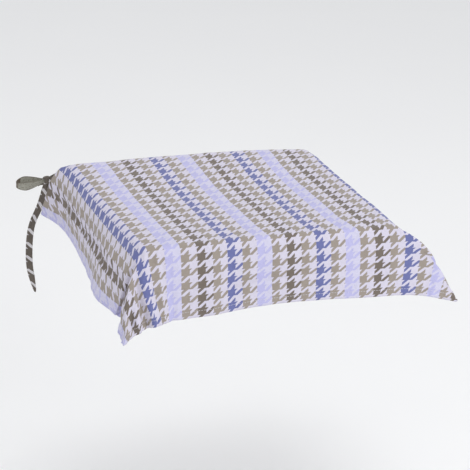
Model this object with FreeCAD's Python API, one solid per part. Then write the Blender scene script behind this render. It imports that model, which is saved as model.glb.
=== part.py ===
import FreeCAD, Part
import math
import os

from FreeCAD import Vector

# Chair seat pad: a foam pad sewn under a printed cloth whose four drops hang
# over the seat edges, tied round the two back posts with bows. Units are mm.
# +X is the sitter's right seen from the front, -Y is the front, +Z is up.
# The origin is the middle of the pad's underside, where it rests on the seat.

# ---- driving dimensions ----
SEAT_W = 412.0          # width of the top between the folds of the side drops
SEAT_D = 380.0          # depth of the top between front fold and rear edge
CORNER_R = 12.0         # plan radius of the top's front corners
REAR_R = 2.0            # plan radius at the rear, where the notches cut the cloth
PAD_T = 17.0            # foam thickness
CLOTH_T = 1.0           # printed cloth
LINING_T = 0.8          # plain cloth under the foam
LINING_IN = 4.0         # lining's edge inside the folds
FOAM_IN = 2.0           # foam's edge inside the cloth where it rounds over
FOAM_ROUND = 5.0        # rounding of the foam's top edge
EDGE_ROUND = 6.0        # how far the cloth rounds over the edge
LEFT_BULGE = 8.0        # extra width at the front left corner
NOTCH_IN = 150.0        # rear corners are cut away outside this half width
POST_W = 34.0           # chair post, across
POST_D = 36.0           # chair post, front to back
STRAP_W = 9.0           # folded tie strap
STRAP_T = 1.4
KNOT_R = 6.5
LOOP_L = 40.0           # bow loop, knot to tip
LOOP_H = 17.0           # bow loop, across its eye
LEAD_ROOT = 16.0        # rear lead sewn on this far inside the notch
LOOP_W = 14.0           # strap where it opens out in a loop
LOOP_NECK = 5.0         # strap gathered at the knot
THREAD = 0.7            # stitching thread
HEM_IN = 10.0           # stitch line above the hem
HEM_T = 2.0             # cloth turned in once below the stitch line
HEM_STOP = 14.0         # side stitch lines end this far before the rear fold
TACK_T = 0.8            # bartack: dense block of stitching on a strap
TACK_W = 6.0
TACK_L = 4.0
LEAD_DROP = 6.0         # side lead below the pad's underside
TIE_DROP = 3.0          # rear lead below the pad's underside

# ---- clearances ----
GAP = 0.3               # foam, lining and thread to their neighbours
SWING_GAP = 0.5         # moving bow piece to its knot
POST_GAP = 3.0          # strap to the post it goes round
POST_SET = 6.0          # post to the rear fold
ROW_GAP = 1.0           # between the stitch lines of two sides
LEAD_INSET = 6.0        # side lead's middle to the outside of the drop

TOP_Z = LINING_T + GAP + PAD_T + GAP + CLOTH_T
FOLD_X = SEAT_W / 2.0
FOLD_Y = SEAT_D / 2.0
FOLD_Z = TOP_Z - EDGE_ROUND
DROP = 98.0             # usual height of a drop, fold to hem
STITCH_SHARE = 1.0 - HEM_IN / DROP
POST_Y = FOLD_Y + POST_SET + POST_D / 2.0
RIM_IN = EDGE_ROUND * 0.6   # flat top's edge inside the folds
BEYOND = 400.0          # reach of a cutting box, past everything

# ---- the hem, station by station ----
# Each side lists (place, flare, fall). Place is the distance from the side's
# middle as a share of half the side, flare is how far the hem stands out from
# the fold, and fall is its depth below the fold.
LEFT_HEM = [(1.05, 45, 71), (0.98, 41, 73), (0.87, 25, 78), (0.76, 14, 84), (0.59, 12, 89),
            (0.42, 13, 93), (0.24, 16, 97), (0.04, 20, 99), (-0.16, 26, 100), (-0.32, 32, 100),
            (-0.47, 40, 99), (-0.62, 46, 99), (-0.75, 45, 100), (-0.87, 37, 103)]
FRONT_HEM = [(-1.04, 17, 129), (-0.96, 15, 122), (-0.87, 15, 116), (-0.77, 15, 111),
             (-0.65, 15, 107), (-0.5, 15, 102), (-0.34, 15, 98), (-0.15, 15, 94), (0.05, 15, 92),
             (0.22, 15, 92), (0.39, 15, 93), (0.56, 15, 95), (0.72, 15, 96), (0.87, 15, 98),
             (1.0, 16, 101)]
RIGHT_HEM = [(-0.78, 38, 104), (-0.63, 26, 100), (-0.45, 19, 97), (-0.24, 16, 96), (0.0, 16, 96),
             (0.24, 17, 95), (0.47, 20, 94), (0.68, 25, 92), (0.87, 32, 89), (0.98, 38, 87),
             (1.05, 41, 86)]
REAR_HEM = [(0.95, 12, 99), (0.73, 12, 101), (0.49, 13, 102), (0.24, 13, 102), (0.0, 13, 102),
            (-0.24, 13, 102), (-0.49, 13, 102), (-0.73, 12, 101), (-0.95, 12, 99)]
# The two front corners hang as folded ears: (x, y, fall) from the corner of the folds.
LEFT_EAR = [(-36, 4, 107), (-31, -11, 116), (-25, -19, 132)]
RIGHT_EAR = [(24, -17, 101), (46, -18, 101), (70, -19, 110), (93, -20, 120), (80, 0, 115),
             (60, 18, 109)]


def fold_at(x, y, inset):
    """The point of the rounded seat outline, drawn in by inset, nearest to x, y."""
    r = CORNER_R if y < 0 else REAR_R
    w = FOLD_X - inset
    d = FOLD_Y - inset
    cx = max(-(w - r), min(w - r, x))
    cy = max(-(d - r), min(d - r, y))
    away = Vector(x - cx, y - cy, 0)
    if away.Length < 1e-6:
        away = Vector(0, y, 0)
    away.normalize()
    px = cx + away.x * r
    py = cy + away.y * r
    if px < 0 and py < 0:
        share = max(0.0, -py / FOLD_Y) * max(0.0, -px / FOLD_X - 0.6) / 0.4
        px -= LEFT_BULGE * share
    return px, py


def stations():
    """Fold and hem points in order: left side, front, right side, rear."""
    far = 40.0
    out = []
    for place, flare, fall in LEFT_HEM:
        y = place * FOLD_Y
        out.append((-FOLD_X - far, y, -FOLD_X - flare, y, fall))
    for i, (x, y, fall) in enumerate(LEFT_EAR):
        turn = math.radians(30.0 + 20.0 * i)
        out.append((-FOLD_X + CORNER_R - far * math.cos(turn),
                    -FOLD_Y + CORNER_R - far * math.sin(turn), x - FOLD_X, y - FOLD_Y, fall))
    for place, flare, fall in FRONT_HEM:
        x = place * FOLD_X
        out.append((x, -FOLD_Y - far, x, -FOLD_Y - flare, fall))
    for i, (x, y, fall) in enumerate(RIGHT_EAR):
        turn = math.radians(80.0 - 14.0 * i)
        out.append((FOLD_X - CORNER_R + far * math.cos(turn),
                    -FOLD_Y + CORNER_R - far * math.sin(turn), x + FOLD_X, y - FOLD_Y, fall))
    for place, flare, fall in RIGHT_HEM:
        y = place * FOLD_Y
        out.append((FOLD_X + far, y, FOLD_X + flare, y, fall))
    for place, flare, fall in REAR_HEM:
        x = place * FOLD_X
        out.append((x, FOLD_Y + far, x, FOLD_Y + flare, fall))
    return out


def ring(share, inset_top=0.0):
    """Closed loop of points on the drop: share 0 is the fold, 1 is the hem."""
    pts = []
    for sx, sy, hx, hy, fall in stations():
        fx, fy = fold_at(sx, sy, inset_top)
        pts.append(Vector(fx + (hx - fx) * share, fy + (hy - fy) * share, FOLD_Z - fall * share))
    return pts


def drawn_in(pts, depth):
    """The loop moved inwards in plan by depth, mitred at its corners."""
    out = []
    n = len(pts)
    for i in range(n):
        a = pts[i - 1]
        b = pts[i]
        c = pts[(i + 1) % n]
        d1 = Vector(b.x - a.x, b.y - a.y, 0)
        d2 = Vector(c.x - b.x, c.y - b.y, 0)
        d1.normalize()
        d2.normalize()
        n1 = Vector(-d1.y, d1.x, 0)
        n2 = Vector(-d2.y, d2.x, 0)
        mid = n1.add(n2)
        mid.normalize()
        grow = 1.0 / max(0.4, mid.dot(n1))
        out.append(Vector(b.x + mid.x * depth * grow, b.y + mid.y * depth * grow, b.z))
    return out


def triangle(a, b, c):
    return Part.Face(Part.makePolygon([a, b, c, a]))


def band(lower, upper):
    """Faces between two loops of equal length, two triangles a step."""
    faces = []
    n = len(lower)
    for i in range(n):
        j = (i + 1) % n
        faces.append(triangle(lower[i], lower[j], upper[j]))
        faces.append(triangle(lower[i], upper[j], upper[i]))
    return faces


def solid_of(faces):
    shell = Part.makeShell(faces)
    if not shell.isClosed():
        shell.sewShape()
    solid = Part.makeSolid(shell)
    if solid.Volume < 0:
        solid.reverse()
    return solid


def at_height(pts, z):
    return [Vector(p.x, p.y, z) for p in pts]


def notches():
    """The two rear corners cut away for the posts."""
    cuts = []
    for corner in (NOTCH_IN, -NOTCH_IN - BEYOND):
        cuts.append(Part.makeBox(BEYOND, BEYOND, 2 * BEYOND, Vector(corner, FOLD_Y, -BEYOND)))
    return Part.makeCompound(cuts)


def skirt_band(share_hi, share_lo, out_d, in_d):
    """A closed strip standing off the drop between two heights."""
    hi = ring(share_hi)
    lo = ring(share_lo)
    faces = band(drawn_in(lo, out_d), drawn_in(hi, out_d))
    faces += band(drawn_in(hi, in_d), drawn_in(lo, in_d))
    faces += band(drawn_in(hi, out_d), drawn_in(hi, in_d))
    faces += band(drawn_in(lo, in_d), drawn_in(lo, out_d))
    return solid_of(faces)


def cover():
    """The printed cloth: flat top and four drops as one sheet."""
    hem = ring(1.0)
    stitch = ring(STITCH_SHARE)
    knee = ring(0.0)
    rim = at_height(ring(0.0, RIM_IN), TOP_Z)
    hem_in = drawn_in(hem, HEM_T)
    stitch_in = drawn_in(stitch, CLOTH_T)
    knee_in = drawn_in(knee, CLOTH_T)
    rim_in = at_height(drawn_in(rim, CLOTH_T * 0.6), TOP_Z - CLOTH_T)
    faces = band(hem, stitch) + band(stitch, knee) + band(knee, rim)
    faces += band(rim_in, knee_in) + band(knee_in, stitch_in) + band(stitch_in, hem_in)
    faces += band(hem_in, hem)
    for loop in (rim, rim_in):
        faces.append(Part.Face(Part.makePolygon(loop + [loop[0]])))
    return solid_of(faces).cut(notches())


def plate(half_x, half_y, radius, z, height):
    """Upright plate with rounded plan corners, centred on the origin."""
    box = Part.makeBox(2 * half_x, 2 * half_y, height, Vector(-half_x, -half_y, z))
    upright = [e for e in box.Edges if abs(e.BoundBox.ZLength - height) < 1e-6]
    return box.makeFillet(radius, upright)


def foam():
    inset = RIM_IN + CLOTH_T + FOAM_IN
    body = plate(FOLD_X - inset, FOLD_Y - inset, CORNER_R, LINING_T + GAP, PAD_T)
    rims = [e for e in body.Edges if e.BoundBox.ZLength < 1e-6 and e.BoundBox.ZMin > PAD_T]
    return body.makeFillet(FOAM_ROUND, rims)


def lining():
    return plate(FOLD_X - LINING_IN, FOLD_Y - LINING_IN, CORNER_R, 0.0, LINING_T)


def pad_seam():
    """Thread ring that sews the lining to the cover round the foam."""
    out_h = FOLD_X - LINING_IN + GAP + THREAD
    out_v = FOLD_Y - LINING_IN + GAP + THREAD
    outer = plate(out_h, out_v, CORNER_R + GAP + THREAD, 0.1, THREAD)
    inner = plate(out_h - THREAD, out_v - THREAD, CORNER_R + GAP, -1.0, 4.0)
    return outer.cut(inner)


def hem_threads():
    """Stitch line round the hem, one thread a side."""
    line = skirt_band(STITCH_SHARE, STITCH_SHARE + THREAD / DROP, -GAP / 2 - THREAD, -GAP / 2)
    half = FOLD_Y - HEM_STOP
    front = half + ROW_GAP
    rear = NOTCH_IN - ROW_GAP
    low = -BEYOND
    parts = {
        "hem_thread_left": Part.makeBox(BEYOND, 2 * half, BEYOND, Vector(low - NOTCH_IN, -half, low)),
        "hem_thread_right": Part.makeBox(BEYOND, 2 * half, BEYOND, Vector(NOTCH_IN, -half, low)),
        "hem_thread_front": Part.makeBox(2 * BEYOND, BEYOND, BEYOND, Vector(low, low - front, low)),
        "hem_thread_rear": Part.makeBox(2 * rear, BEYOND, BEYOND, Vector(-rear, half, low)),
    }
    return {name: largest(line.common(zone)) for name, zone in parts.items()}


def largest(shape):
    return max(shape.Solids, key=lambda s: s.Volume)


def ribbon(points, flat, widths, thick=STRAP_T):
    """Flat strap along points; flat is the direction its width lies along."""
    wires = []
    for i, p in enumerate(points):
        ahead = points[min(i + 1, len(points) - 1)].sub(points[max(i - 1, 0)])
        ahead.normalize()
        side = flat[i] if isinstance(flat, list) else Vector(flat)
        side = side.sub(ahead * side.dot(ahead))
        side.normalize()
        face = ahead.cross(side)
        w = widths[i] if isinstance(widths, list) else widths
        a = side * (w / 2.0)
        b = face * (thick / 2.0)
        pts = [p.add(a).add(b), p.sub(a).add(b), p.sub(a).sub(b), p.add(a).sub(b)]
        wires.append(Part.makePolygon(pts + [pts[0]]))
    return Part.makeLoft(wires, True, True)


def bow_loop(centre, along, up):
    """Puffed closed loop of strap starting at the knot and reaching along."""
    along = Vector(along)
    along.normalize()
    up = Vector(up)
    up = up.sub(along * up.dot(along))
    up.normalize()
    side = along.cross(up)
    start = KNOT_R + SWING_GAP

    def outline(shrink):
        half = LOOP_H / 2.0 - shrink
        lo = start + shrink
        hi = start + LOOP_L - shrink
        span = hi - lo
        rough = [(0.0, 0.16), (0.2, 0.55), (0.45, 0.95), (0.7, 1.0), (0.9, 0.7), (1.0, 0.2)]
        pts = [(lo + f * span, half * h) for f, h in rough]
        pts += [(x, -y) for x, y in reversed(pts)]
        ring_pts = []
        for x, y in pts:
            ring_pts.append(centre.add(along * x).add(up * y).sub(side * (LOOP_W / 2.0)))
        return Part.Face(Part.makePolygon(ring_pts + [ring_pts[0]])).extrude(side * LOOP_W)

    def gather():
        """Block that narrows to the knot, where the strap is gathered."""
        plan = [(start, LOOP_NECK), (start + 0.5 * LOOP_L, LOOP_W), (start + LOOP_L, LOOP_W)]
        plan += [(x, -w) for x, w in reversed(plan)]
        base = [centre.add(along * x).add(side * (w / 2.0)).sub(up * LOOP_H) for x, w in plan]
        return Part.Face(Part.makePolygon(base + [base[0]])).extrude(up * (2.0 * LOOP_H))

    return outline(0.0).cut(outline(STRAP_T)).common(gather())


def tail(centre, first, route, flat):
    """Free strap end: leaves the knot along first and narrows to a point."""
    first = Vector(first)
    first.normalize()
    pts = [centre.add(first * (KNOT_R + SWING_GAP + STRAP_W * 0.12))]
    pts += [centre.add(Vector(*step)) for step in route]
    widths = [STRAP_W * 0.8] + [STRAP_W] * (len(pts) - 3) + [STRAP_W * 0.75, 1.2]
    return ribbon(pts, flat, widths)


def to_knot(centre, last):
    """Where a lead coming from last meets the knot, clear of it by a gap."""
    back = last.sub(centre)
    back.normalize()
    return centre.add(back * (KNOT_R + GAP + 0.2))


def side_lead(side, centre, end_flare, end_fall, between):
    """Strap from inside the side drop's rear edge to the knot, and its face direction."""
    lean = end_flare / end_fall
    deep = LEAD_DROP + FOLD_Z
    start_x = FOLD_X + lean * deep - LEAD_INSET
    pts = [Vector(side * (start_x - 2.2), FOLD_Y - 14.0, -LEAD_DROP),
           Vector(side * start_x, FOLD_Y + 1.0, -LEAD_DROP - 0.5)]
    pts += [centre.add(Vector(*step)) for step in between]
    pts.append(to_knot(centre, pts[-1]))
    flat = Vector(-side * lean * 0.9, 0, 1)
    flat.normalize()
    return pts, flat


def rear_lead(side, centre, between):
    """Strap from the rear flap round the back of the post to the knot."""
    inner = NOTCH_IN - POST_GAP
    rear = POST_Y + POST_D / 2.0 + POST_GAP
    flap_y = FOLD_Y + 4.2
    pts = [Vector(side * (NOTCH_IN - LEAD_ROOT), flap_y, -TIE_DROP),
           Vector(side * (inner - 0.6), flap_y + 1.2, -TIE_DROP),
           Vector(side * inner, FOLD_Y + 14.0, -TIE_DROP),
           Vector(side * inner, rear - 6.0, -TIE_DROP),
           Vector(side * (NOTCH_IN + 4), rear, -TIE_DROP),
           Vector(side * (NOTCH_IN + POST_W - 4), rear, -TIE_DROP - 1)]
    pts += [centre.add(Vector(*step)) for step in between]
    pts.append(to_knot(centre, pts[-1]))
    return ribbon(pts, Vector(0, 0, 1), STRAP_W), pts[0]


def bartack(start, ahead, flat, off):
    """Dense stitching on the face of a strap; off points away from the cloth."""
    ahead = Vector(ahead)
    ahead.normalize()
    flat = Vector(flat)
    lift = ahead.cross(flat)
    lift.normalize()
    if lift.dot(Vector(off)) < 0:
        lift = lift * -1.0
    first = Vector(start).add(lift * (STRAP_T / 2.0 + GAP / 2.0 + TACK_T / 2.0)).add(ahead * 3.0)
    return ribbon([first, first.add(ahead * TACK_L)], flat, TACK_W, TACK_T)


os.makedirs("parts", exist_ok=True)
shapes = {
    "cover_cloth": cover(),
    "foam_core": foam(),
    "base_lining": lining(),
    "pad_seam_thread": pad_seam(),
}
shapes.update(hem_threads())

# ---- left bow: outer loop stands out to the side, outer tail hangs by the hem ----
KL = Vector(-FOLD_X - 23.0, FOLD_Y + 23.0, -11.0)
left_lead, left_flat = side_lead(-1, KL, LEFT_HEM[1][1], LEFT_HEM[1][2], [])
shapes["tie_left_knot"] = Part.makeSphere(KNOT_R, KL)
shapes["tie_left_front_lead"] = ribbon(left_lead, left_flat, STRAP_W)
shapes["tie_left_rear_lead"], left_root = rear_lead(-1, KL, [(25.0, 14.0, 5.0)])
shapes["tie_left_loop_outer"] = bow_loop(KL, (-1, 0.02, 0.02), (0.1, 1, 0.25))
shapes["tie_left_loop_inner"] = bow_loop(KL, (0.1, 0.9, -0.4), (1, 0, 0))
shapes["tie_left_tail_outer"] = tail(KL, (-0.35, -0.1, -1), [
    (-7.0, -1.5, -22.0), (-14.5, -3.0, -46.0), (-23.0, -4.0, -68.0), (-27.5, -4.0, -95.0),
    (-28.0, -4.0, -138.0), (-23.0, -4.0, -164.0), (-16.5, -4.0, -190.0)], Vector(1, 0, 0.3))
shapes["tie_left_tail_inner"] = tail(KL, (0.55, 0.1, -0.82), [
    (12.0, 3.0, -22.0), (22.0, 12.0, -41.0), (37.0, 22.0, -60.0), (53.0, 28.0, -80.0),
    (62.0, 29.0, -101.0), (64.0, 28.0, -120.0)], Vector(1, 0.4, 0.4))

# ---- right bow: both loops droop behind the side drop ----
KR = Vector(FOLD_X + 8.0, FOLD_Y + 42.0, -14.0)
right_lead, right_flat = side_lead(1, KR, RIGHT_HEM[-2][1], RIGHT_HEM[-2][2], [(-1.0, -22.0, 5.0)])
shapes["tie_right_knot"] = Part.makeSphere(KNOT_R, KR)
shapes["tie_right_front_lead"] = ribbon(right_lead, right_flat, STRAP_W)
shapes["tie_right_rear_lead"], right_root = rear_lead(1, KR, [(-14.0, 3.0, 5.0)])
shapes["tie_right_loop_outer"] = bow_loop(KR, (0.86, -0.02, -0.5), (0, 1, 0))
shapes["tie_right_loop_inner"] = bow_loop(KR, (-0.16, 0.9, -0.35), (1, 0, 0))
shapes["tie_right_tail_outer"] = tail(KR, (0.1, -0.12, -1), [
    (2.0, -1.5, -26.0), (4.0, -2.0, -58.0), (4.0, -2.0, -92.0), (2.0, -2.0, -126.0),
    (1.0, -2.0, -154.0), (0.0, -2.0, -176.0)], Vector(1, 0.1, 0))
shapes["tie_right_tail_inner"] = tail(KR, (-0.55, 0.05, -0.83), [
    (-8.0, 2.0, -20.0), (-10.5, 3.0, -46.0), (-11.0, 4.0, -76.0), (-11.0, 4.0, -104.0),
    (-10.0, 3.0, -126.0)], Vector(1, 0.2, 0.3))

# ---- bartacks where the four straps are sewn to the cloth ----
shapes["bartack_left_side"] = bartack(left_lead[0], (-0.1, 1, 0), left_flat, (1, 0, 0))
shapes["bartack_right_side"] = bartack(right_lead[0], (0.05, 1, 0), right_flat, (-1, 0, 0))
shapes["bartack_left_rear"] = bartack(left_root, (-1, 0.1, 0), (0, 0, 1), (0, 1, 0))
shapes["bartack_right_rear"] = bartack(right_root, (1, 0.1, 0), (0, 0, 1), (0, 1, 0))

for node, shape in shapes.items():
    shape.exportStep("parts/" + node + ".step")
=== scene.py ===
import math

import bmesh
import bpy
import numpy as np
from mathutils import Matrix, Vector, noise
from mathutils.bvhtree import BVHTree


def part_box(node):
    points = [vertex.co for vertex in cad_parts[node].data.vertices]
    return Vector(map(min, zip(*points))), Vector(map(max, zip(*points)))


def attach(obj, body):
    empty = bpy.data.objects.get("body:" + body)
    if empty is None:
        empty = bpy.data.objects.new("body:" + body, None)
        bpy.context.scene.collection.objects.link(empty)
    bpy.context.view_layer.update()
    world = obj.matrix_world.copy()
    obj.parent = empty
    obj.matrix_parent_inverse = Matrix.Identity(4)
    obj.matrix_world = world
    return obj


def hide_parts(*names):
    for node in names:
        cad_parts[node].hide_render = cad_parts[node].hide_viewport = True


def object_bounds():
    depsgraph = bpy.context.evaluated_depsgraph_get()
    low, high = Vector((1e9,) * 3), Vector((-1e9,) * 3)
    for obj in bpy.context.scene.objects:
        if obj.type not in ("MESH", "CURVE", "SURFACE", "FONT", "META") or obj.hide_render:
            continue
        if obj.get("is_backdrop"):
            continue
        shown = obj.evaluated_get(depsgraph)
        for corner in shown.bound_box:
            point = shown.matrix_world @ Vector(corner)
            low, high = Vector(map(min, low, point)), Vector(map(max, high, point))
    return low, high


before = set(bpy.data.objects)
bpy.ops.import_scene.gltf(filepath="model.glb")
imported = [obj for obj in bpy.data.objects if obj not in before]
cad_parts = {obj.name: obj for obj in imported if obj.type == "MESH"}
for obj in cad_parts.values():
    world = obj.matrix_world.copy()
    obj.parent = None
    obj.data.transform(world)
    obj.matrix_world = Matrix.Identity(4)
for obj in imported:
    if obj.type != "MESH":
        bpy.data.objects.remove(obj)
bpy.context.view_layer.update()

# ---- sizes, in metres, read from the CAD frame where it holds them ----
foam_lo, foam_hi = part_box("foam_core")
cover_lo, cover_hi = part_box("cover_cloth")
lining_lo, lining_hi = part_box("base_lining")
FOLD_X = lining_hi[0] + 0.004
FOLD_Y = lining_hi[1] + 0.004
TOP_Z = cover_hi[2]
FOLD_Z = TOP_Z - 0.006
PITCH = 0.023            # one houndstooth unit of the print
ROW_PITCH = 0.0205       # the same unit along the drops, where the cloth eases
CLOTH_T = 0.0009
NOTCH_IN = 0.150
LEFT_CUT = 0.097         # cloth beyond each fold, measured flat
RIGHT_CUT = 0.108
FRONT_CUT = 0.106
REAR_CUT = 0.102
STEP = 0.0058            # spacing of the cloth's grid
HEM_IN = 0.010
NOTCH_TURN = 0.0175      # cloth turned down over the pad's edge in each rear notch
SAME = 1e-6              # two flat places closer than this are one
STITCH = 0.0027          # length of a stitch, and the gap to the next
STITCH_GAP = 0.0007
HEM_THREAD_R = 0.00028
SEAM_THREAD_R = 0.00022
RUN_STEP = 0.0006        # spacing of the points that stitches follow
STRAP_T = 0.0016
TAIL_W = 0.0112
LEAD_W = 0.0092
FLOOR_Z = -0.46
FALL_FRAMES = 30         # frames in which the cloth is drawn down
SETTLED = 60             # frames until it is at rest

# Where the hem hangs, in millimetres: (place along the side, flare, fall). The left and right lists are
# the CAD's with a front corner row added. The front list differs at its left end, the rear is simpler.
LEFT_HEM = [(1.05, 45, 71), (0.98, 41, 73), (0.87, 25, 78), (0.76, 14, 84), (0.59, 12, 89),
            (0.42, 13, 93), (0.24, 16, 97), (0.04, 20, 99), (-0.16, 26, 100), (-0.32, 32, 100),
            (-0.47, 40, 99), (-0.62, 46, 99), (-0.75, 45, 100), (-0.87, 37, 103), (-1.0, 32, 106)]
FRONT_HEM = [(-1.0, 34, 107), (-0.87, 24, 111), (-0.76, 13, 112), (-0.65, 13, 107), (-0.5, 15, 102),
             (-0.34, 15, 98), (-0.15, 15, 94), (0.05, 15, 92), (0.22, 15, 92), (0.39, 15, 93),
             (0.56, 15, 95), (0.72, 15, 96), (0.87, 15, 98), (1.0, 16, 101)]
RIGHT_HEM = [(-1.0, 52, 106), (-0.78, 38, 104), (-0.63, 26, 100), (-0.45, 19, 97), (-0.24, 16, 96),
             (0.0, 16, 96), (0.24, 17, 95), (0.47, 20, 94), (0.68, 25, 92), (0.87, 32, 89),
             (0.98, 38, 87), (1.05, 41, 86)]
REAR_HEM = [(-1.0, 12, 101), (1.0, 12, 101)]
# Front corner tips from the corner of the top: (x, y, fall).
LEFT_TIP = (-0.0317, -0.035, 0.1275)
RIGHT_TIP = (0.094, -0.020, 0.120)
# Sideways drift of the front hem near its left end, by place along the side.
FRONT_DRIFT = ([-1.0, -0.87, -0.76, -0.65], [0.023, 0.012, 0.003, 0.0])
# Sideways shift of the print, by flat x.
PRINT_ASKEW = ([-0.31, -0.206, -0.15, -0.11, 0.0, 0.2], [0.012, 0.011, 0.006, 0.003, 0.003, 0.002])


def top_rise(x, y):
    """How far the filling lifts the top above its plane: most along the rear."""
    back = min(max((y - 0.02) / 0.15, 0.0), 1.0)
    back = back * back * (3.0 - 2.0 * back)
    span = np.interp(x, [-0.21, -0.1, 0.0, 0.1, 0.17, 0.21], [0.55, 0.9, 1.0, 0.9, 0.5, 0.1])
    sag = math.exp(-((y + 0.03) / 0.09) ** 2) * math.exp(-(x / 0.14) ** 4)
    return 0.0075 * back * span - 0.002 * sag


def hem_at(side, place):
    """Flare and fall of the hem at a place along a side, in metres."""
    rows = np.array(sorted(side))
    return (np.interp(place, rows[:, 0], rows[:, 1]) / 1000.0,
            np.interp(place, rows[:, 0], rows[:, 2]) / 1000.0)


def corner_place(dx, dy, cut_x, cut_y, fold, tip, side_hem, end_hem):
    """A point of a front corner square, carried from flat to its hanging place."""
    rx = abs(dx) / cut_x
    ry = abs(dy) / cut_y
    share = max(rx, ry)
    if share < SAME:
        return fold
    if rx >= ry:
        hem = side_hem.lerp(tip, ry / rx)
    else:
        hem = end_hem.lerp(tip, rx / ry)
    return fold.lerp(hem, share)


def rounding(share):
    """The soft outward bow of a drop just below its fold."""
    return math.sin(math.pi * math.sqrt(min(max(share, 0.0), 1.0)))


def hanging(p, q):
    """The place a flat point of the cloth is drawn towards."""
    x = max(-FOLD_X, min(FOLD_X, p))
    y = max(-FOLD_Y, min(FOLD_Y, q))
    dx = p - x
    dy = q - y
    rise = top_rise(x, y)
    if dx == 0 and dy == 0:
        return Vector((p, q, TOP_Z + rise))
    edge = Vector((x, y, FOLD_Z + 0.8 * rise))
    if dx > 0:
        near_front = np.interp(q / FOLD_Y, [-1.0, -0.4], [1.0, 0.0])
        edge += Vector((0.0015, 0.0, 0.003)) * (near_front * min(1.0, dx / 0.012))
    flare_l, fall_l = hem_at(LEFT_HEM, min(q, FOLD_Y * 1.05) / FOLD_Y)
    flare_r, fall_r = hem_at(RIGHT_HEM, min(q, FOLD_Y * 1.05) / FOLD_Y)
    flare_f, fall_f = hem_at(FRONT_HEM, p / FOLD_X)
    drift = np.interp(p / FOLD_X, FRONT_DRIFT[0], FRONT_DRIFT[1])
    if dy > 0:
        flare_b, fall_b = hem_at(REAR_HEM, p / FOLD_X)
        if abs(p) > NOTCH_IN + SAME:
            return edge + Vector((0, 0.001, -dy))
        return edge + Vector((0, flare_b, -fall_b)) * (dy / REAR_CUT)
    if dx != 0 and dy < 0:
        side = -1 if dx < 0 else 1
        flare, fall = hem_at(LEFT_HEM if side < 0 else RIGHT_HEM, -1.0)
        flare_e, fall_e = hem_at(FRONT_HEM, float(side))
        tip = LEFT_TIP if side < 0 else RIGHT_TIP
        cut = LEFT_CUT if side < 0 else RIGHT_CUT
        share = max(abs(dx) / cut, abs(dy) / FRONT_CUT)
        puff = rounding(share) * (0.016 if side > 0 else 0.006)
        place = corner_place(
            dx, dy, cut, FRONT_CUT, edge, edge + Vector((tip[0], tip[1], -tip[2])),
            edge + Vector((side * flare, 0, -fall)),
            edge + Vector((drift if side < 0 else 0.0, -flare_e, -fall_e)))
        return place + Vector((side * puff, -0.3 * puff, 0.4 * puff))
    if dx < 0:
        share = -dx / LEFT_CUT
        puff = 0.010 * rounding(share)
        return edge + Vector((-flare_l, 0, -fall_l)) * share + Vector((-puff, 0, 0.4 * puff))
    if dx > 0:
        share = dx / RIGHT_CUT
        puff = np.interp(q / FOLD_Y, [-1.0, -0.5, 1.0], [0.016, 0.009, 0.006]) * rounding(share)
        return edge + Vector((flare_r, 0, -fall_r)) * share + Vector((puff, 0, 0.4 * puff))
    share = -dy / FRONT_CUT
    puff = 0.004 * rounding(share)
    return edge + Vector((drift, -flare_f, -fall_f)) * share + Vector((0, -puff, 0.4 * puff))


def link(obj):
    """Puts an object in the scene."""
    bpy.context.scene.collection.objects.link(obj)
    return obj


def mesh_object(name, verts, faces, smooth=True):
    """A linked object made from lists of points and faces."""
    mesh = bpy.data.meshes.new(name)
    mesh.from_pydata([tuple(v) for v in verts], [], faces)
    mesh.validate()
    if smooth:
        mesh.shade_smooth()
    return link(bpy.data.objects.new(name, mesh))


def flat_grid():
    """Rows and columns of the flat cloth, with lines kept on the folds and notches."""
    def line(cuts):
        out = []
        for a, b in zip(cuts, cuts[1:]):
            n = max(1, round((b - a) / STEP))
            out += [a + (b - a) * i / n for i in range(n)]
        return out + [cuts[-1]]
    ps = line([-FOLD_X - LEFT_CUT, -FOLD_X, -NOTCH_IN, NOTCH_IN, FOLD_X, FOLD_X + RIGHT_CUT])
    qs = line([-FOLD_Y - FRONT_CUT, -FOLD_Y, FOLD_Y, FOLD_Y + REAR_CUT])
    return ps, qs


def printed(p, q):
    """Column and row of the print at a flat point; the cloth was cut a little askew."""
    over = max(0.0, -FOLD_Y - q) + max(0.0, q - FOLD_Y)
    inner = max(-FOLD_Y, min(FOLD_Y, q))
    row = (inner + FOLD_Y) / PITCH
    row += -over / ROW_PITCH if q < 0 else over / ROW_PITCH
    askew = np.interp(p, PRINT_ASKEW[0], PRINT_ASKEW[1])
    along = np.interp(q, [-FOLD_Y, -0.14, 0.10, FOLD_Y], [0.0, 0.0032, 0.0032, 0.0])
    askew += along * np.interp(p, [-0.17, -0.10, 0.02, 0.20], [0.0, 1.0, 1.0, 3.0])
    return (p + FOLD_X + askew) / PITCH, row


def cloth_mesh():
    """The flat cloth as a grid whose rear corners are cut out for the posts."""
    ps, qs = flat_grid()
    kept = {}
    flat = []
    for j, q in enumerate(qs):
        for i, p in enumerate(ps):
            over = q - FOLD_Y
            if abs(p) > FOLD_X + SAME and over > SAME:
                continue
            if abs(p) > NOTCH_IN + SAME and over > NOTCH_TURN + SAME:
                continue
            kept[(i, j)] = len(flat)
            flat.append((p, q))
    faces = []
    for j in range(len(qs) - 1):
        for i in range(len(ps) - 1):
            ring = [(i, j), (i + 1, j), (i + 1, j + 1), (i, j + 1)]
            if all(k in kept for k in ring):
                faces.append([kept[k] for k in ring])
    obj = mesh_object("cover", [(p, q, TOP_Z) for p, q in flat], faces)
    uv = obj.data.uv_layers.new(name="print")
    for loop in obj.data.loops:
        uv.data[loop.index].uv = printed(*flat[loop.vertex_index])
    return obj, flat


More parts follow.
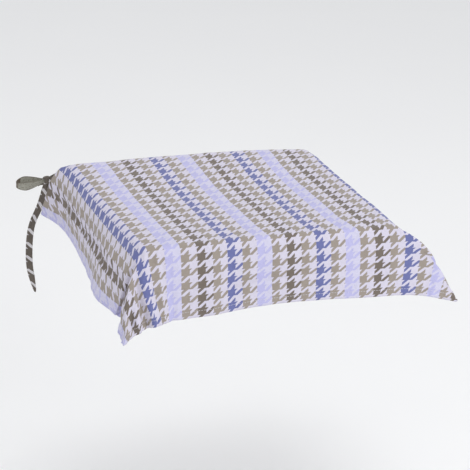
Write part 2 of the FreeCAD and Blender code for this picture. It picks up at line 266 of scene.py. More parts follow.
def seat_block():
    """The pad and the seat under it, there only while the cloth falls over it."""
    bm = bmesh.new()
    bmesh.ops.create_cube(bm, size=1.0)
    low = -0.16
    high = TOP_Z - CLOTH_T
    for v in bm.verts:
        v.co = Vector((v.co.x * 2 * (FOLD_X - 0.002), v.co.y * 2 * (FOLD_Y - 0.002),
                       low + (v.co.z + 0.5) * (high - low)))
    bmesh.ops.bevel(bm, geom=list(bm.edges), offset=0.006, segments=4, affect="EDGES")
    mesh = bpy.data.meshes.new("seat_block")
    bm.to_mesh(mesh)
    bm.free()
    block = link(bpy.data.objects.new("seat_block", mesh))
    block.modifiers.new("collide", "COLLISION")
    block.collision.thickness_outer = 0.001
    block.collision.cloth_friction = 20.0
    return block


def drape(obj, flat):
    """Lets the flat cloth fall over the seat, drawn lightly to where it hangs."""
    count = len(flat)
    obj.shape_key_add(name="flat")
    hung = obj.shape_key_add(name="hung")
    coords = np.array([hanging(p, q)[:] for p, q in flat])
    hung.data.foreach_set("co", coords.ravel())
    hung.value = 0.0
    hung.keyframe_insert("value", frame=1)
    hung.value = 1.0
    hung.keyframe_insert("value", frame=FALL_FRAMES)
    pin = obj.vertex_groups.new(name="pin")
    for i in range(count):
        p, q = flat[i]
        pin.add([i], pin_weight(p, q), "REPLACE")
    cloth = obj.modifiers.new("cloth", "CLOTH")
    s = cloth.settings
    s.quality = 6
    s.mass = 0.0002
    s.tension_stiffness = 12.0
    s.compression_stiffness = 8.0
    s.shear_stiffness = 3.0
    s.bending_stiffness = 0.25
    s.tension_damping = 5.0
    s.air_damping = 2.0
    s.vertex_group_mass = "pin"
    s.pin_stiffness = 1.0
    cloth.collision_settings.distance_min = 0.0015
    cloth.collision_settings.collision_quality = 3
    cloth.collision_settings.use_self_collision = True
    cloth.collision_settings.self_distance_min = 0.0015
    scene = bpy.context.scene
    cloth.point_cache.frame_end = SETTLED
    for f in range(1, SETTLED + 1):
        scene.frame_set(f)
    dg = bpy.context.evaluated_depsgraph_get()
    out = obj.evaluated_get(dg).to_mesh()
    co = np.empty(count * 3)
    out.vertices.foreach_get("co", co)
    obj.modifiers.remove(cloth)
    obj.shape_key_clear()
    normals = np.empty(count * 3)
    out.vertices.foreach_get("normal", normals)
    depth = np.array([wrinkle(p, q) for p, q in flat])
    co += normals * np.repeat(depth, 3)
    obj.data.vertices.foreach_set("co", co)
    obj.data.update()
    scene.frame_set(1)
    return co.reshape(-1, 3)


def wrinkle(p, q):
    """Depth of the settled creases and soft waves at a flat point, outward, in metres."""
    drop_l = -FOLD_X - p
    drop_f = -FOLD_Y - q
    drop = max(drop_l, drop_f, p - FOLD_X, q - FOLD_Y, 0.0)
    wave = 0.0022 * noise.noise(Vector((p * 26, q * 26, 3.0)))
    wave += 0.0009 * noise.noise(Vector((p * 60, q * 60, 8.0)))
    deep = 0.6 + 0.9 * min(drop / 0.05, 1.0)
    out = wave * deep
    if drop_l > 0:
        line = 0.049 + 0.004 * noise.noise(Vector((q * 14, 0, 0)))
        away = (drop_l - line) / 0.0045
        strong = np.interp(q, [-0.19, -0.15, -0.02, 0.1, 0.19], [0.1, 0.8, 1.0, 0.8, 0.3])
        out -= 0.0062 * strong * math.exp(-away * away)
        out += 0.0024 * strong * math.sin(q * 520 + 3 * math.sin(q * 90)) * math.exp(-(away / 3) ** 2)
    if drop_f > 0 and drop_l <= 0:
        line = 0.058 - 0.10 * (p + 0.02) + 0.003 * noise.noise(Vector((p * 30, 5, 0)))
        away = (drop_f - line) / 0.0045
        strong = np.interp(p, [-0.10, -0.06, 0.02, 0.06], [0.0, 1.0, 0.9, 0.0])
        out -= 0.0052 * strong * math.exp(-away * away)
    return out


def pin_weight(p, q):
    """1 where the cloth is sewn to the pad, a light pull on the drops."""
    over_x = abs(p) - FOLD_X
    over_y = abs(q) - FOLD_Y
    if over_x < -0.008 and over_y < -0.008:
        return 1.0
    if over_x <= 0.002 and over_y <= 0.002:
        return 0.6
    if q > FOLD_Y and abs(p) > NOTCH_IN:
        return 0.9
    tip_x = LEFT_CUT if p < 0 else RIGHT_CUT
    if q < 0 and over_x > tip_x - 0.004 and over_y > FRONT_CUT - 0.004:
        return 1.0
    if q < 0 and over_x > 0 and over_y > 0:
        return 0.25 if p < 0 else 0.6
    return 0.45


# ---- materials ----
class Graph:
    """Short names for the nodes of one material."""

    def __init__(self, name):
        self.mat = bpy.data.materials.new(name)
        self.mat.use_nodes = True
        self.tree = self.mat.node_tree
        self.bsdf = self.tree.nodes["Principled BSDF"]

    def node(self, kind, **values):
        n = self.tree.nodes.new(kind)
        for key, value in values.items():
            setattr(n, key, value)
        return n

    def put(self, value, socket):
        if isinstance(value, (int, float, tuple)):
            socket.default_value = value
        else:
            self.tree.links.new(value, socket)

    def math(self, op, a, b=0.0, c=0.0):
        n = self.node("ShaderNodeMath", operation=op)
        for value, socket in zip((a, b, c), n.inputs):
            self.put(value, socket)
        return n.outputs[0]

    def mix(self, share, a, b):
        n = self.node("ShaderNodeMix", data_type="RGBA")
        self.put(share, n.inputs[0])
        self.put(a, n.inputs[6])
        self.put(b, n.inputs[7])
        return n.outputs[2]

    def noise(self, vector, scale, detail=2.0):
        n = self.node("ShaderNodeTexNoise")
        self.put(vector, n.inputs["Vector"])
        n.inputs["Scale"].default_value = scale
        n.inputs["Detail"].default_value = detail
        return n.outputs["Fac"]

    def bump(self, height, strength, distance, below=None):
        n = self.node("ShaderNodeBump")
        n.inputs["Strength"].default_value = strength
        n.inputs["Distance"].default_value = distance
        self.put(height, n.inputs["Height"])
        if below is not None:
            self.put(below, n.inputs["Normal"])
        return n.outputs["Normal"]

    def cloth_finish(self, colour, normal, rough=0.86):
        self.put(colour, self.bsdf.inputs["Base Color"])
        self.put(normal, self.bsdf.inputs["Normal"])
        self.bsdf.inputs["Roughness"].default_value = rough
        self.bsdf.inputs["Specular IOR Level"].default_value = 0.2
        self.bsdf.inputs["Sheen Weight"].default_value = 0.15
        self.bsdf.inputs["Sheen Roughness"].default_value = 0.5
        return self.mat


GROUND = (0.66, 0.63, 0.745, 1.0)
BLUE = (0.135, 0.155, 0.37, 1.0)
TAN = (0.33, 0.285, 0.24, 1.0)
LAVENDER = (0.50, 0.49, 0.76, 1.0)
BROWN = (0.165, 0.135, 0.105, 1.0)
COLUMNS = [BLUE, TAN, LAVENDER, TAN, BROWN, TAN]
PALE_COLUMN = 2.0        # the column whose ground is tinted too
PALE_GROUND = (0.62, 0.61, 0.79, 1.0)
STRAP_GROUND = (0.66, 0.64, 0.66, 1.0)
STRAP_BROWN = (0.105, 0.085, 0.065, 1.0)
LOOP_BROWN = (0.11, 0.08, 0.055, 1.0)
THREADS = 44.0           # threads of the weave in one unit of the print


def fabric_weave(g, u, v, threads):
    """Height of a plain weave whose threads run along u and v."""
    warp = g.math("SINE", g.math("MULTIPLY", u, math.pi * threads))
    weft = g.math("SINE", g.math("MULTIPLY", v, math.pi * threads))
    return g.math("MULTIPLY", warp, weft)


def print_material(name, ground, columns, fade):
    """Houndstooth in coloured columns, printed on plain woven cotton."""
    g = Graph(name)
    uv = g.node("ShaderNodeUVMap", uv_map="print").outputs[0]
    split = g.node("ShaderNodeSeparateXYZ")
    g.put(uv, split.inputs[0])
    raw_u, raw_v = split.outputs[0], split.outputs[1]
    wobble = g.math("MULTIPLY", g.math("SUBTRACT", g.noise(uv, 6.0), 0.5), 0.06)
    u = g.math("ADD", raw_u, wobble)
    v = g.math("ADD", raw_v, wobble)
    s = g.math("FRACT", u)
    t = g.math("FRACT", v)
    # Dark inside a slanted band in the left half of a unit, and outside it in the lower half.
    lean = g.math("MULTIPLY_ADD", g.math("SUBTRACT", s, t), 2.0, -0.33)
    twill = g.math("LESS_THAN", g.math("FRACT", lean), 0.49)
    upright = g.math("MULTIPLY", twill, g.math("LESS_THAN", s, 0.51))
    level = g.math("MULTIPLY", g.math("SUBTRACT", 1.0, twill), g.math("LESS_THAN", t, 0.51))
    dark = g.math("MAXIMUM", upright, level)
    column = g.math("FLOORED_MODULO", g.math("FLOOR", u), 6.0)
    ramp = g.node("ShaderNodeValToRGB")
    ramp.color_ramp.interpolation = "CONSTANT"
    for i, colour in enumerate(columns):
        stops = ramp.color_ramp.elements
        stop = stops[i] if i < 2 else stops.new(i / 6.0)
        stop.position = i / 6.0
        stop.color = colour
    g.put(g.math("DIVIDE", g.math("ADD", column, 0.5), 6.0), ramp.inputs[0])
    ink = g.math("MULTIPLY_ADD", g.noise(uv, 30.0), 0.16, 0.88 - fade)
    share = g.math("MULTIPLY", dark, g.math("MINIMUM", ink, 1.0))
    pale = g.math("COMPARE", column, PALE_COLUMN, 0.4)
    paper = g.mix(g.math("MULTIPLY", pale, 0.7), ground, PALE_GROUND)
    colour = g.mix(share, paper, ramp.outputs[0])
    weave = fabric_weave(g, raw_u, raw_v, THREADS)
    slub = g.math("MULTIPLY_ADD", g.noise(uv, 9.0, 4.0), 0.14, 0.93)
    tone = g.math("MULTIPLY", slub, g.math("MULTIPLY_ADD", weave, 0.05, 1.0))
    grey = g.node("ShaderNodeCombineColor")
    for socket in grey.inputs[:3]:
        g.put(tone, socket)
    shade = g.node("ShaderNodeMix", data_type="RGBA", blend_type="MULTIPLY")
    shade.inputs[0].default_value = 1.0
    g.put(colour, shade.inputs[6])
    g.put(grey.outputs[0], shade.inputs[7])
    soft = g.bump(g.noise(uv, 1.7, 3.0), 0.55, 0.007)
    return g.cloth_finish(shade.outputs[2], g.bump(weave, 0.35, 0.0002, soft))


def plain_cotton(name, colour, thread):
    """Undyed woven cotton, with its threads in the object's own plane."""
    g = Graph(name)
    place = g.node("ShaderNodeTexCoord").outputs["Object"]
    split = g.node("ShaderNodeSeparateXYZ")
    g.put(place, split.inputs[0])
    weave = fabric_weave(g, split.outputs[0], split.outputs[1], 1.0 / thread)
    tint = g.mix(g.noise(place, 60.0, 3.0), colour, tuple(0.88 * c for c in colour[:3]) + (1.0,))
    return g.cloth_finish(tint, g.bump(weave, 0.4, 0.0002))


def foam_material():
    """Yellowish open-cell foam."""
    g = Graph("foam")
    place = g.node("ShaderNodeTexCoord").outputs["Object"]
    cells = g.node("ShaderNodeTexVoronoi")
    cells.inputs["Scale"].default_value = 900.0
    g.put(place, cells.inputs["Vector"])
    tint = g.mix(g.noise(place, 25.0), (0.80, 0.74, 0.55, 1.0), (0.86, 0.82, 0.68, 1.0))
    return g.cloth_finish(tint, g.bump(cells.outputs["Distance"], 0.5, 0.0006), 0.95)


def thread_material(name, colour):
    """Twisted sewing thread: fine slanted ridges."""
    g = Graph(name)
    place = g.node("ShaderNodeTexCoord").outputs["Object"]
    twist = g.node("ShaderNodeTexWave", bands_direction="DIAGONAL")
    twist.inputs["Scale"].default_value = 1400.0
    g.put(place, twist.inputs["Vector"])
    tint = g.mix(g.noise(place, 200.0), colour, tuple(0.8 * c for c in colour[:3]) + (1.0,))
    return g.cloth_finish(tint, g.bump(twist.outputs["Fac"], 0.5, 0.0001), 0.6)


# ---- the cloth ----
cover, flat = cloth_mesh()
block = seat_block()
drape(cover, flat)
bpy.data.objects.remove(block)


def double_hem(obj, flat):
    """Thickness: single cloth, with the turned-in hem twice as thick."""
    group = obj.vertex_groups.new(name="hem")
    left, right = -FOLD_X - LEFT_CUT, FOLD_X + RIGHT_CUT
    front, rear = -FOLD_Y - FRONT_CUT, FOLD_Y + REAR_CUT
    for i, (p, q) in enumerate(flat):
        inside = min(p - left, right - p, q - front, rear - q)
        group.add([i], 1.0 if inside < HEM_IN - 0.003 else 0.5, "REPLACE")
    obj.vertex_groups.remove(obj.vertex_groups["pin"])
    smooth = obj.modifiers.new("smooth", "SUBSURF")
    smooth.levels = 1
    smooth.render_levels = 1
    thick = obj.modifiers.new("thickness", "SOLIDIFY")
    thick.thickness = 2.0 * CLOTH_T
    thick.offset = -1.0
    thick.vertex_group = "hem"
    thick.use_even_offset = False
    dg = bpy.context.evaluated_depsgraph_get()
    return BVHTree.FromObject(obj, dg)


surface = double_hem(cover, flat)
places = {}
for (p, q), vert in zip(flat, cover.data.vertices):
    places[(round(p, 5), round(q, 5))] = vert.co.copy()
GRID_P, GRID_Q = flat_grid()


def on_cloth(p, q):
    """The draped place of a flat point, and the cloth's outward direction there."""
    i = min(max(np.searchsorted(GRID_P, p) - 1, 0), len(GRID_P) - 2)
    j = min(max(np.searchsorted(GRID_Q, q) - 1, 0), len(GRID_Q) - 2)
    a = (p - GRID_P[i]) / (GRID_P[i + 1] - GRID_P[i])
    b = (q - GRID_Q[j]) / (GRID_Q[j + 1] - GRID_Q[j])
    corner = [places[(round(GRID_P[m], 5), round(GRID_Q[n], 5))]
              for m, n in ((i, j), (i + 1, j), (i, j + 1), (i + 1, j + 1))]
    low = corner[0].lerp(corner[1], a)
    high = corner[2].lerp(corner[3], a)
    across = (corner[1] - corner[0]).cross(corner[2] - corner[0])
    return low.lerp(high, b), across.normalized()


cover.data.materials.append(print_material("printed_cotton", GROUND, COLUMNS, 0.0))
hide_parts("cover_cloth")
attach(cover, "pad")


# ---- stitching ----
def stitch_mesh(name, runs, length, gap, radius):
    """Rows of short stitches along runs of (place, outward) points."""
    verts = []
    faces = []
    for run in runs:
        travelled = 0.0
        start = None
        last = run[0][0]
        for point, out in run:
            travelled += (point - last).length
            last = point
            if start is None and travelled >= gap:
                start = (point, out)
                travelled = 0.0
            elif start is not None and travelled >= length:
                add_stitch(verts, faces, start[0], point, start[1], radius)
                start = None
                travelled = 0.0
    return mesh_object(name, verts, faces)


def add_stitch(verts, faces, a, b, out, radius):
    """One stitch: a short rounded thread that dips into the cloth at both ends."""
    along = b - a
    side = along.normalized().cross(out) * radius
    lift = out * radius
    base = len(verts)
    for share, height, width in ((0.0, -0.3, 0.5), (0.2, 0.7, 1.0), (0.8, 0.7, 1.0), (1.0, -0.3, 0.5)):
        middle = a + along * share + lift * height
        for k in range(6):
            turn = math.pi * k / 3.0
            verts.append(middle + (side * math.cos(turn) + lift * math.sin(turn)) * width)
    for ring in range(3):
        for k in range(6):
            m = (k + 1) % 6
            faces.append([base + ring * 6 + k, base + ring * 6 + m,
                          base + ring * 6 + 6 + m, base + ring * 6 + 6 + k])
    faces.append([base + k for k in range(5, -1, -1)])
    faces.append([base + 18 + k for k in range(6)])


def cloth_run(start, end):
    """Points on the outside of the draped cloth along a flat straight line."""
    count = int(math.dist(start, end) / RUN_STEP)
    run = []
    for i in range(count + 1):
        share = i / count
        guess, out = on_cloth(start[0] + (end[0] - start[0]) * share,
                              start[1] + (end[1] - start[1]) * share)
        hit = surface.ray_cast(guess + out * 0.004, -out, 0.008)
        run.append((hit[0] if hit[0] is not None else guess, out))
    return run


hem_thread = thread_material("hem_thread", (0.80, 0.78, 0.86, 1.0))
in_l = -FOLD_X - LEFT_CUT + HEM_IN
in_r = FOLD_X + RIGHT_CUT - HEM_IN
in_f = -FOLD_Y - FRONT_CUT + HEM_IN
in_b = FOLD_Y + REAR_CUT - HEM_IN
HEM_RUNS = {
    "left": ((in_l, in_f), (in_l, FOLD_Y - 0.001)),
    "front": ((in_l, in_f), (in_r, in_f)),
    "right": ((in_r, in_f), (in_r, FOLD_Y - 0.001)),
    "rear": ((-NOTCH_IN + 0.001, in_b), (NOTCH_IN - 0.001, in_b)),
}
for side, (start, end) in HEM_RUNS.items():
    row = stitch_mesh("hem_stitches_" + side, [cloth_run(start, end)],
                      STITCH, STITCH_GAP, HEM_THREAD_R)
    row.data.materials.append(hem_thread)
    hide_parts("hem_thread_" + side)
    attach(row, "pad")


# ---- the pad under the cloth ----
def crowned_slab(name, lo, hi, radius, crown, step):
    """Rounded slab whose top rises a little to the middle, as cut foam does."""
    size_x = hi[0] - lo[0]
    size_y = hi[1] - lo[1]
    nx = round(size_x / step)
    ny = round(size_y / step)
    bm = bmesh.new()
    bmesh.ops.create_grid(bm, x_segments=nx, y_segments=ny, size=0.5)
    for v in bm.verts:
        x = v.co.x * size_x
        y = v.co.y * size_y
        cx = max(abs(x) - (size_x / 2 - radius), 0.0)
        cy = max(abs(y) - (size_y / 2 - radius), 0.0)
        far = math.hypot(cx, cy)
        if far > radius:
            x -= math.copysign(cx - cx * radius / far, x)
            y -= math.copysign(cy - cy * radius / far, y)
        from_round = radius - far if far else 1
        edge = min(size_x / 2 - abs(x), size_y / 2 - abs(y), from_round)
        rise = 1.0 - math.exp(-max(edge, 0.0) / 0.010)
        lift = top_rise(x, y) * min(1.0, max(edge, 0.0) / 0.03)
        v.co = Vector((x, y, hi[2] - crown + crown * rise + lift))
    top = list(bm.faces)
    made = bmesh.ops.extrude_face_region(bm, geom=top)
    for part in made["geom"]:
        if isinstance(part, bmesh.types.BMVert):
            part.co.z = lo[2]
    bmesh.ops.recalc_face_normals(bm, faces=bm.faces)
    mesh = bpy.data.meshes.new(name)
    bm.to_mesh(mesh)
    bm.free()
    mesh.shade_smooth()
    return link(bpy.data.objects.new(name, mesh))


pad = crowned_slab("foam_pad", foam_lo, foam_hi, 0.014, 0.004, 0.012)
pad.data.materials.append(foam_material())
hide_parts("foam_core")
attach(pad, "pad")


def lining_sheet():
    """Plain cloth under the foam, puckered a little along its seam."""
    size = (lining_hi[0] - lining_lo[0], lining_hi[1] - lining_lo[1])
    bm = bmesh.new()
    bmesh.ops.create_grid(bm, x_segments=60, y_segments=56, size=0.5)
    for v in bm.verts:
        x = v.co.x * size[0]
        y = v.co.y * size[1]
        edge = min(size[0] / 2 - abs(x), size[1] / 2 - abs(y))
        pucker = 0.00018 * math.exp(-edge / 0.02) * (math.sin(x * 420) + math.sin(y * 460))
        v.co = Vector((x, y, lining_hi[2] * 0.5 + pucker))
    mesh = bpy.data.meshes.new("lining")
    bm.to_mesh(mesh)
    bm.free()
    mesh.shade_smooth()
    obj = link(bpy.data.objects.new("lining", mesh))
    thick = obj.modifiers.new("thickness", "SOLIDIFY")
    thick.thickness = 0.0006
    thick.offset = 0.0
    return obj, size


lining, lining_size = lining_sheet()
lining.data.materials.append(plain_cotton("lining_cotton", (0.80, 0.79, 0.77, 1.0), 0.0005))
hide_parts("base_lining")
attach(lining, "pad")


def seam_run():
    """Closed line just inside the lining's edge, on its underside."""
    hx = lining_hi[0] - 0.004
    hy = lining_hi[1] - 0.004
    corners = [(-hx, -hy), (hx, -hy), (hx, hy), (-hx, hy), (-hx, -hy)]
    run = []
    for a, b in zip(corners, corners[1:]):
        count = int(math.dist(a, b) / RUN_STEP)
        for i in range(count):
            share = i / count
            place = Vector((a[0] + (b[0] - a[0]) * share, a[1] + (b[1] - a[1]) * share, 0.0002))
            run.append((place, Vector((0, 0, -1))))
    return run


pad_seam = stitch_mesh("pad_seam_stitches", [seam_run()], STITCH, STITCH_GAP, SEAM_THREAD_R)
pad_seam.data.materials.append(hem_thread)
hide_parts("pad_seam_thread")
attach(pad_seam, "pad")


# ---- tie straps ----
def smooth_line(points, count):
    """Evenly spaced places along a NURBS curve drawn by the strap's route."""
    data = bpy.data.curves.new("route", "CURVE")
    data.dimensions = "3D"
    spline = data.splines.new("NURBS")
    spline.points.add(len(points) - 1)
    for knot, place in zip(spline.points, points):
        knot.co = (*place, 1.0)
    spline.order_u = 3
    spline.use_endpoint_u = True
    spline.resolution_u = 12
    obj = bpy.data.objects.new("route", data)
    mesh = bpy.data.meshes.new_from_object(obj)
    line = np.array([v.co[:] for v in mesh.vertices])
    bpy.data.objects.remove(obj)
    bpy.data.meshes.remove(mesh)
    steps = np.r_[0, np.cumsum(np.linalg.norm(np.diff(line, axis=0), axis=1))]
    want = np.linspace(0, steps[-1], count)
    return [Vector([np.interp(w, steps, line[:, k]) for k in range(3)]) for w in want]


def strap_mesh(name, points, flat_dirs, widths, closed=False, thick=STRAP_T):
    """Folded cloth strap: a flat tube with soft edges and a seam line down it."""
    count = len(points)
    column = 4.02            # where the strap's middle falls in the print
    section = [(-1.0, 0.0), (-0.93, 0.75), (-0.55, 1.0), (0.0, 0.88), (0.55, 1.0), (0.93, 0.75),
               (1.0, 0.0), (0.93, -0.75), (0.55, -1.0), (0.0, -0.88), (-0.55, -1.0), (-0.93, -0.75)]
    n = len(section)
    verts = []
    travelled = [0.0]
    for i in range(count):
        nxt = points[(i + 1) % count] if closed else points[min(i + 1, count - 1)]
        prv = points[i - 1] if closed else points[max(i - 1, 0)]
        ahead = (nxt - prv).normalized()
        side = flat_dirs[i] - ahead * flat_dirs[i].dot(ahead)
        side.normalize()
        face = ahead.cross(side)
        half = widths[i] / 2.0
        for a, b in section:
            curl = 0.12 * a * a * half
            verts.append(points[i] + side * (a * half) + face * (b * thick / 2.0 - curl))
        if i:
            travelled.append(travelled[-1] + (points[i] - points[i - 1]).length)
    faces = []
    uvs = []
    rings = count if closed else count - 1
    total = travelled[-1] + (points[0] - points[-1]).length
    for i in range(rings):
        j = (i + 1) % count
        v0 = travelled[i] / PITCH
        v1 = (travelled[j] if j else total) / PITCH
        for k in range(n):
            m = (k + 1) % n
            faces.append([i * n + k, i * n + m, j * n + m, j * n + k])
            us = [column + 0.22 + 0.21 * section[idx][0] for idx in (k, m)]
            uvs.append([(us[0], v0), (us[1], v0), (us[1], v1), (us[0], v1)])
    if not closed:
        faces.append(list(range(n - 1, -1, -1)))
        uvs.append([(column, 0.0)] * n)
        faces.append([(count - 1) * n + k for k in range(n)])
        uvs.append([(column, travelled[-1] / PITCH)] * n)
    obj = mesh_object(name, verts, faces)
    layer = obj.data.uv_layers.new(name="print")
    for poly, ring in zip(obj.data.polygons, uvs):
        for loop, uv in zip(poly.loop_indices, ring):
            layer.data[loop].uv = uv
    smooth = obj.modifiers.new("smooth", "SUBSURF")
    smooth.levels = 1
    smooth.render_levels = 1
    return obj


strap_print = print_material("strap_cotton", STRAP_GROUND, [STRAP_BROWN] * 6, 0.02)


def loop_material():
    """Back of the strap cloth: grey green darkened with painted shade, with painted shadow lines along
    its edges, random dark streaks, and the brown print showing at the bend.
    """
    g = Graph("strap_cotton_back_painted_shade")
    uv = g.node("ShaderNodeUVMap", uv_map="print").outputs[0]
    split = g.node("ShaderNodeSeparateXYZ")
    g.put(uv, split.inputs[0])
    from_bend = g.math("ABSOLUTE", g.math("SUBTRACT", split.outputs[1], 2.05))
    ragged = g.math("MULTIPLY_ADD", g.math("SUBTRACT", g.noise(uv, 7.0), 0.5), 0.5, from_bend)
    bend = g.math("LESS_THAN", ragged, 0.30)
    # Painted shadow lines along both edges of the loop, where the folded strap turns under.
    from_middle = g.math("ABSOLUTE", g.math("SUBTRACT", split.outputs[0], 4.24))
    edge = g.math("GREATER_THAN", from_middle, 0.17)
    streak = g.math("GREATER_THAN", g.noise(uv, 12.0, 3.0), 0.60)
    # Painted shade: the grey green of the strap's back is darkened as if the loop's cloth lay in shade.
    base = g.mix(g.noise(uv, 5.0), (0.42, 0.41, 0.35, 1.0), (0.27, 0.265, 0.22, 1.0))
    # Mixes the painted edge shadow and random dark streaks over the base.
    shaded_back_and_streaks = g.mix(g.math("MULTIPLY", g.math("MAXIMUM", edge, streak), 0.65), base,
                  (0.10, 0.085, 0.065, 1.0))
    colour = g.mix(g.math("MULTIPLY", bend, 0.8), shaded_back_and_streaks, LOOP_BROWN)
    weave = fabric_weave(g, split.outputs[0], split.outputs[1], THREADS)
    return g.cloth_finish(colour, g.bump(weave, 0.35, 0.0002))


loop_print_and_shade = loop_material()


def knot_centre(side):
    """Middle and radius of a knot's CAD solid."""
    lo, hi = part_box("tie_" + side + "_knot")
    return (lo + hi) / 2, (hi[0] - lo[0]) / 2


def finish_strap(obj, node, body, material):
    """Gives a strap piece its material in a slot and its body, and hides the CAD part it stands for."""
    obj.data.materials.append(material)
    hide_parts(node)
    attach(obj, body)
    return obj


def bow_loop(side, which, along, up, length, eye, width):
    """Puffed loop: out from the knot, round its end and back."""
    centre, radius = knot_centre(side)
    along = Vector(along).normalized()
    up = Vector(up)
    up = (up - along * up.dot(along)).normalized()
    across = along.cross(up)
    outline = [(0.0, 0.10), (0.12, 0.2), (0.3, 0.66), (0.5, 0.95), (0.72, 1.0), (0.9, 0.72),
               (1.0, 0.25)]
    outline += [(x, -h) for x, h in reversed(outline)]
    start = radius * 0.35
    places = [centre + along * (start + x * (length + radius - start)) + up * (h * eye / 2)
              for x, h in outline]
    line = smooth_line(places, 44)
    widths = []
    for p in line:
        out = (p - centre).dot(along) / (length + radius)
        open_out = min(1.0, max(0.0, out * 1.6 - 0.15))
        end = max(0.0, out - 0.62) / 0.38
        widths.append(width * (0.34 + 0.66 * open_out) * (1.0 - 0.42 * end * end))
    obj = strap_mesh("tie_%s_loop_%s_cloth" % (side, which), line, [across] * len(line), widths,
                     thick=0.0018)
    body = "%s_loop_%s" % (side, which)
    return finish_strap(obj, "tie_" + body, body, loop_print_and_shade)


def tail(side, which, first, route, flat_dir, turn):
    """Free end of the strap, hanging from inside the knot to its pointed tip."""
    centre, radius = knot_centre(side)
    first = Vector(first).normalized()
    points = [centre + first * radius * 0.4, centre + first * (radius + 0.0016)]
    points += [centre + Vector(step) / 1000.0 for step in route]
    line = smooth_line(points, 60)
    widths = []
    dirs = []
    axis = Vector(flat_dir).normalized()
    for i in range(len(line)):
        share = i / (len(line) - 1)
        tip = min(1.0, (1.0 - share) / 0.16)
        gather = 0.6 + 0.4 * min(1.0, share / 0.08)
        widths.append(TAIL_W * gather * (0.12 + 0.88 * math.sqrt(tip)))
        spin = math.radians(turn) * math.sin(share * math.pi * 1.4)
        dirs.append(Vector((axis.x * math.cos(spin) - axis.y * math.sin(spin),
                            axis.x * math.sin(spin) + axis.y * math.cos(spin), axis.z)))
    obj = strap_mesh("tie_%s_tail_%s_cloth" % (side, which), line, dirs, widths)
    body = "%s_tail_%s" % (side, which)
    return finish_strap(obj, "tie_" + body, body, strap_print)


def lead(side, which, points, flat_dir):
    """Strap between the cloth and the knot."""
    line = smooth_line(points, 40)
    widths = [LEAD_W * (1.0 - 0.4 * max(0.0, i / 39 - 0.8) / 0.2) for i in range(40)]
    obj = strap_mesh("tie_%s_%s_cloth" % (side, which), line, [Vector(flat_dir)] * 40, widths)
    return finish_strap(obj, "tie_%s_%s" % (side, which), "pad", strap_print)


def knot(side, across):
    """Strap wrapped over the crossing: two turns of cloth pulled tight."""
    centre, radius = knot_centre(side)
    across = Vector(across).normalized()
    up = Vector((0, 0, 1))
    up = (up - across * up.dot(across)).normalized()
    fore = across.cross(up)
    line = []
    for i in range(40):
        turn = 2 * math.pi * i / 40
        wide = radius * (0.70 + 0.07 * math.sin(2 * turn + 0.6))
        line.append(centre + up * (wide * math.cos(turn)) + fore * (wide * 0.85 * math.sin(turn))
                    + across * (0.0008 * math.sin(turn)))
    obj = strap_mesh("tie_%s_knot_cloth" % side, line, [across] * 40,
                     [radius * (1.5 + 0.15 * math.sin(3 * i / 40 * 2 * math.pi)) for i in range(40)],
                     closed=True, thick=0.0042)
    return finish_strap(obj, "tie_%s_knot" % side, "pad", strap_print)


def mm(*values):
    """A vector given in millimetres."""
    return Vector(values) / 1000.0


bow_loop("left", "outer", (-1, 0.02, -0.10), (0.1, 1, 0.25), 0.042, 0.015, 0.0175)
bow_loop("left", "inner", (0.1, 0.9, -0.4), (1, 0, 0), 0.040, 0.015, 0.015)
bow_loop("right", "outer", (0.86, -0.02, -0.5), (0, 1, 0), 0.040, 0.015, 0.015)
bow_loop("right", "inner", (-0.16, 0.9, -0.35), (1, 0, 0), 0.040, 0.015, 0.015)
tail("left", "outer", (-0.12, -0.1, -1), [
    (-3.5, -1.5, -22.0), (-11.5, -3.0, -46.0), (-23.0, -4.0, -68.0), (-27.5, -4.0, -95.0),
    (-28.0, -4.0, -138.0), (-23.0, -4.0, -164.0), (-16.5, -4.0, -190.0)], (0.93, -0.36, 0.0), 22)
tail("left", "inner", (0.55, 0.1, -0.82), [
    (12.0, 3.0, -22.0), (22.0, 12.0, -41.0), (37.0, 22.0, -60.0), (53.0, 28.0, -80.0),
    (62.0, 29.0, -101.0), (64.0, 28.0, -120.0)], (1, 0.4, 0.0), 25)
tail("right", "outer", (0.1, -0.12, -1), [
    (2.0, -1.5, -26.0), (4.0, -2.0, -58.0), (4.0, -2.0, -92.0), (2.0, -2.0, -126.0),
    (1.0, -2.0, -154.0), (0.0, -2.0, -176.0)], (1, 0.1, 0), 20)
tail("right", "inner", (-0.55, 0.05, -0.83), [
    (-8.0, 2.0, -20.0), (-10.5, 3.0, -46.0), (-11.0, 4.0, -76.0), (-11.0, 4.0, -104.0),
    (-10.0, 3.0, -126.0)], (1, 0.2, 0), 25)
knot("left", (1, 0.3, 0))
knot("right", (0.3, 1, 0))

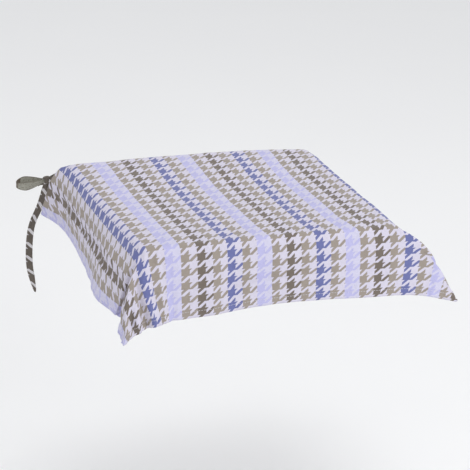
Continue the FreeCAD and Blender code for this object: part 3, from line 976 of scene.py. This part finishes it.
for side, s in (("left", -1), ("right", 1)):
    centre = knot_centre(side)[0]
    box_lo, box_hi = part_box("tie_%s_front_lead" % side)
    root_x = box_hi[0] - 0.0012 if s < 0 else box_lo[0] + 0.0012
    out_x = root_x + s * 0.0024
    fall = -0.006
    points = [Vector((root_x, box_lo[1] + 0.0006, fall)),
              Vector((out_x - s * 0.001, FOLD_Y - 0.004, fall)),
              Vector((out_x + s * 0.0005, FOLD_Y + 0.003, fall - 0.0008))]
    if s > 0:
        points.append(centre + mm(-1.0, -22.0, 5.0))
    points.append(centre)
    lead(side, "front_lead", points, (-s * 0.42, 0, 0.9))
    lo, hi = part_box("tie_%s_rear_lead" % side)
    inner = s * (NOTCH_IN - 0.003)
    rear = hi[1] - 0.0008
    low = -0.003
    points = [Vector((s * (NOTCH_IN - 0.016), FOLD_Y + 0.0042, low)),
              Vector((inner, FOLD_Y + 0.0052, low)), Vector((inner, FOLD_Y + 0.014, low)),
              Vector((inner, rear - 0.006, low)), Vector((s * (NOTCH_IN + 0.001), rear, low)),
              Vector((s * (NOTCH_IN + 0.030), rear, low - 0.001)),
              centre + (mm(25.0, 14.0, 5.0) if s < 0 else mm(-14.0, 3.0, 5.0)), centre]
    lead(side, "rear_lead", points, (0, 0, 1))

for node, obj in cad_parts.items():
    if node.startswith("bartack"):
        obj.data.materials.clear()
        obj.data.materials.append(hem_thread)

# ---- camera, light and floor ----
AZIMUTH = math.radians(-21.26)
HEIGHT = math.radians(20.54)
ROLL = math.radians(2.76)
back = Vector((math.sin(AZIMUTH) * math.cos(HEIGHT), -math.cos(AZIMUTH) * math.cos(HEIGHT),
               math.sin(HEIGHT)))
across = Vector((math.cos(AZIMUTH), math.sin(AZIMUTH), 0.0))
above = back.cross(across)
right = across * math.cos(ROLL) + above * math.sin(ROLL)
top = above * math.cos(ROLL) - across * math.sin(ROLL)
camera = link(bpy.data.objects.new("camera", bpy.data.cameras.new("camera")))
camera.rotation_mode = "QUATERNION"
camera.location = Vector((0.0148, 0.0, -0.0478)) + back * 3.346
camera.rotation_quaternion = Matrix((right, top, back)).transposed().to_quaternion()
camera.data.sensor_width = 36.0
camera.data.lens = 165.3
bpy.context.scene.camera = camera
bpy.context.scene.view_settings.view_transform = "Standard"


def area_light(name, place, size, power):
    """A white square light aimed at the origin."""
    light = bpy.data.lights.new(name, "AREA")
    light.energy = power
    light.size = size
    obj = link(bpy.data.objects.new(name, light))
    obj.location = place
    obj.rotation_mode = "QUATERNION"
    obj.rotation_quaternion = (-Vector(place)).to_track_quat("-Z", "Y")


area_light("key", (1.8, -2.5, 1.0), 1.4, 32.0)
area_light("fill", (-2.4, -1.6, 0.9), 2.0, 7.0)
area_light("top", (0.3, 0.5, 2.6), 1.6, 16.0)

corners = [(-6, -6, FLOOR_Z), (6, -6, FLOOR_Z), (6, 8, FLOOR_Z), (-6, 8, FLOOR_Z)]
floor = mesh_object("floor", corners, [[0, 1, 2, 3]], smooth=False)
g = Graph("floor_white")
place = g.node("ShaderNodeTexCoord").outputs["Object"]
pale_floor = g.mix(g.noise(place, 2.0), (0.93, 0.93, 0.93, 1.0), (0.95, 0.95, 0.95, 1.0))
g.put(pale_floor, g.bsdf.inputs["Base Color"])
g.bsdf.inputs["Roughness"].default_value = 0.9
floor.data.materials.append(g.mat)
floor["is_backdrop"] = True

world = bpy.data.worlds.new("studio")
world.use_nodes = True
world.node_tree.nodes["Background"].inputs[0].default_value = (0.97, 0.98, 1.0, 1.0)
world.node_tree.nodes["Background"].inputs[1].default_value = 0.74
bpy.context.scene.world = world

lo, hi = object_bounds()
